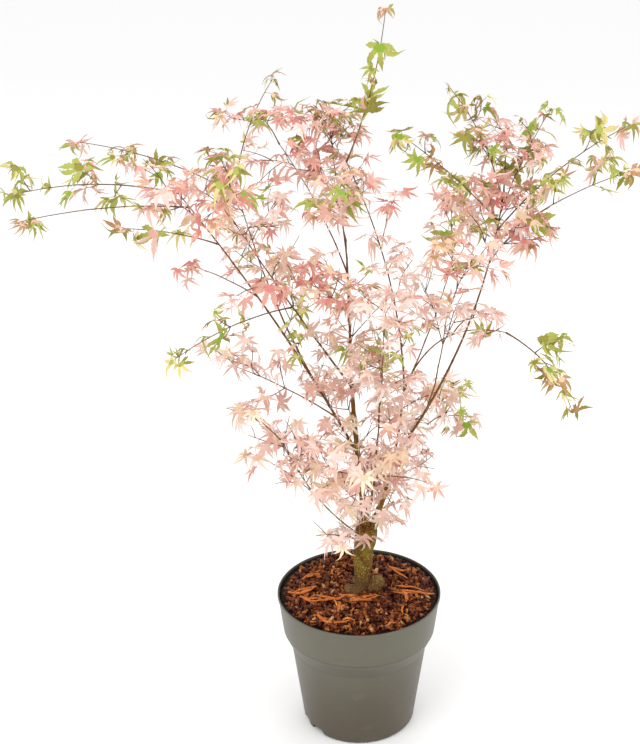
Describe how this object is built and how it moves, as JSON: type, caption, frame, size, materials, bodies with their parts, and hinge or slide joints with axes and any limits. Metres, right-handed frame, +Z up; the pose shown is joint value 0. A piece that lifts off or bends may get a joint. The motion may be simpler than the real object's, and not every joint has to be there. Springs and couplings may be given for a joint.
{
  "type": "potted japanese maple",
  "caption": "Young small-leaved maple with slender upright stems and an open, wide crown of pink and green leaves, in a round nursery pot of bark compost.",
  "frame": {"origin": "centre of the pot's flat underside, at the level that it stands on", "axes": "+Z up the plant from the pot's foot, +X along the wide side of the crown, +Y towards its back"},
  "size_m": [0.6813, 0.4353, 0.834],
  "materials": {
    "pot": "satin moulded plastic, taupe grey",
    "soil": "damp bark chips and coconut fibre",
    "bark": "olive bark with small tan specks",
    "branch": "thin smooth reddish brown bark",
    "leaf_pink": "soft thin leaf, rosy pink",
    "leaf_blush": "soft thin leaf, pale pink",
    "leaf_peach": "soft thin leaf, cream and peach",
    "leaf_green": "soft thin leaf, yellow green"
  },
  "bodies": {
    "root": {"pot": "pot", "soil": "soil", "trunk": "bark", "stem_left": "branch", "stem_right": "branch", "stem_middle": "branch", "bough_left": "branch", "bough_left_back": "branch", "bough_left_front": "branch", "bough_back": "branch", "bough_front": "branch", "bough_back_left": "branch", "stem_inner": "branch", "leader": "branch", "bough_right": "branch", "bough_right_back": "branch", "bough_right_front": "branch", "bough_arching": "branch", "bough_low_left": "branch", "bough_low_back": "branch", "bough_low_front": "branch", "bough_low_right": "branch", "bough_middle_front": "branch", "spray_leader": "leaf_green", "spray_crown": "leaf_pink", "spray_centre": "leaf_pink", "spray_centre_low": "leaf_pink", "spray_heart": "leaf_pink", "shoot_left_upper": "leaf_green", "spray_back_left": "leaf_pink", "shoot_left_top": "leaf_green", "shoot_left_middle": "leaf_green", "shoot_left_low": "leaf_green", "spray_left_upper": "leaf_pink", "shoot_left_under": "leaf_green", "spray_left_small": "leaf_pink", "spray_left_front": "leaf_pink", "spray_left_front_low": "leaf_pink", "shoot_left_hanging": "leaf_green", "spray_left_inner": "leaf_pink", "spray_low_back": "leaf_peach", "spray_low_left": "leaf_peach", "spray_low_left_out": "leaf_peach", "spray_foot": "leaf_peach", "spray_low_front": "leaf_peach", "spray_low_front_right": "leaf_peach", "spray_low_right": "leaf_blush", "spray_middle_front": "leaf_blush", "spray_middle": "leaf_blush", "spray_right_back": "leaf_pink", "spray_right_front": "leaf_pink", "shoot_arching": "leaf_green", "spray_arching": "leaf_peach", "spray_right": "leaf_pink", "spray_right_upper": "leaf_pink", "shoot_crossing": "leaf_green", "shoot_right_top": "leaf_green", "shoot_right_high": "leaf_green", "shoot_right_far": "leaf_green", "shoot_right_out": "leaf_green"}
  },
  "joints": []
}
